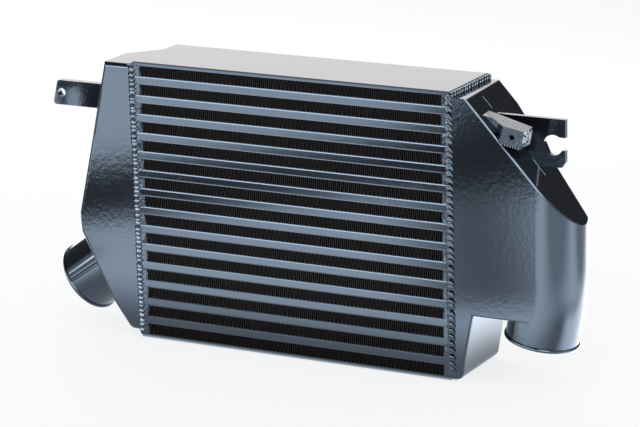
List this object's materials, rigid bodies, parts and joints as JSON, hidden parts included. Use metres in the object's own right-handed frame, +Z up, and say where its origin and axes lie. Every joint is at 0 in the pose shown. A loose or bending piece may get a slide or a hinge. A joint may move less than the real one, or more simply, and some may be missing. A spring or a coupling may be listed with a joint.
{
  "type": "intercooler",
  "caption": "Bar-and-plate charge-air cooler with cast end tanks, round hose pipes, a mounting ear, a grommet bracket and a tapped block.",
  "frame": {"origin": "centre of the core's underside, on the surface that the intercooler stands on", "axes": "+X along the core from the inlet tank to the outlet tank, +Y from the front face to the back face, +Z up"},
  "size_m": [0.5707, 0.0969, 0.2809],
  "materials": {
    "air_fins": "thin black coat, half matt between the folds",
    "passage_bars": "gloss black powder coat",
    "side_plates": "gloss black powder coat",
    "core_edges": "gloss black powder coat",
    "charge_fins": "bare rolled sheet",
    "cast_tanks": "gloss black powder coat over a sand-cast skin",
    "hose_pipe": "gloss black powder coat over a turned tube",
    "weld_beads": "gloss black powder coat over rippled weld"
  },
  "bodies": {
    "root": {"air_fin_01": "air_fins", "air_fin_02": "air_fins", "air_fin_03": "air_fins", "air_fin_04": "air_fins", "air_fin_05": "air_fins", "air_fin_06": "air_fins", "air_fin_07": "air_fins", "air_fin_08": "air_fins", "air_fin_09": "air_fins", "air_fin_10": "air_fins", "air_fin_11": "air_fins", "air_fin_12": "air_fins", "air_fin_13": "air_fins", "air_fin_14": "air_fins", "air_fin_15": "air_fins", "bottom_side_plate": "side_plates", "charge_fins": "charge_fins", "front_bar_01": "passage_bars", "front_bar_02": "passage_bars", "front_bar_03": "passage_bars", "front_bar_04": "passage_bars", "front_bar_05": "passage_bars", "front_bar_06": "passage_bars", "front_bar_07": "passage_bars", "front_bar_08": "passage_bars", "front_bar_09": "passage_bars", "front_bar_10": "passage_bars", "front_bar_11": "passage_bars", "front_bar_12": "passage_bars", "front_bar_13": "passage_bars", "front_bar_14": "passage_bars", "inlet_pipe": "hose_pipe", "inlet_weld": "weld_beads", "left_end_bars": "core_edges", "left_end_tank": "cast_tanks", "left_tank_weld": "weld_beads", "parting_plates": "core_edges", "rear_bar_01": "passage_bars", "rear_bar_02": "passage_bars", "rear_bar_03": "passage_bars", "rear_bar_04": "passage_bars", "rear_bar_05": "passage_bars", "rear_bar_06": "passage_bars", "rear_bar_07": "passage_bars", "rear_bar_08": "passage_bars", "rear_bar_09": "passage_bars", "rear_bar_10": "passage_bars", "rear_bar_11": "passage_bars", "rear_bar_12": "passage_bars", "rear_bar_13": "passage_bars", "rear_bar_14": "passage_bars", "right_end_bars": "core_edges", "right_end_tank": "cast_tanks", "right_tank_weld": "weld_beads", "top_side_plate": "side_plates"}
  },
  "joints": []
}
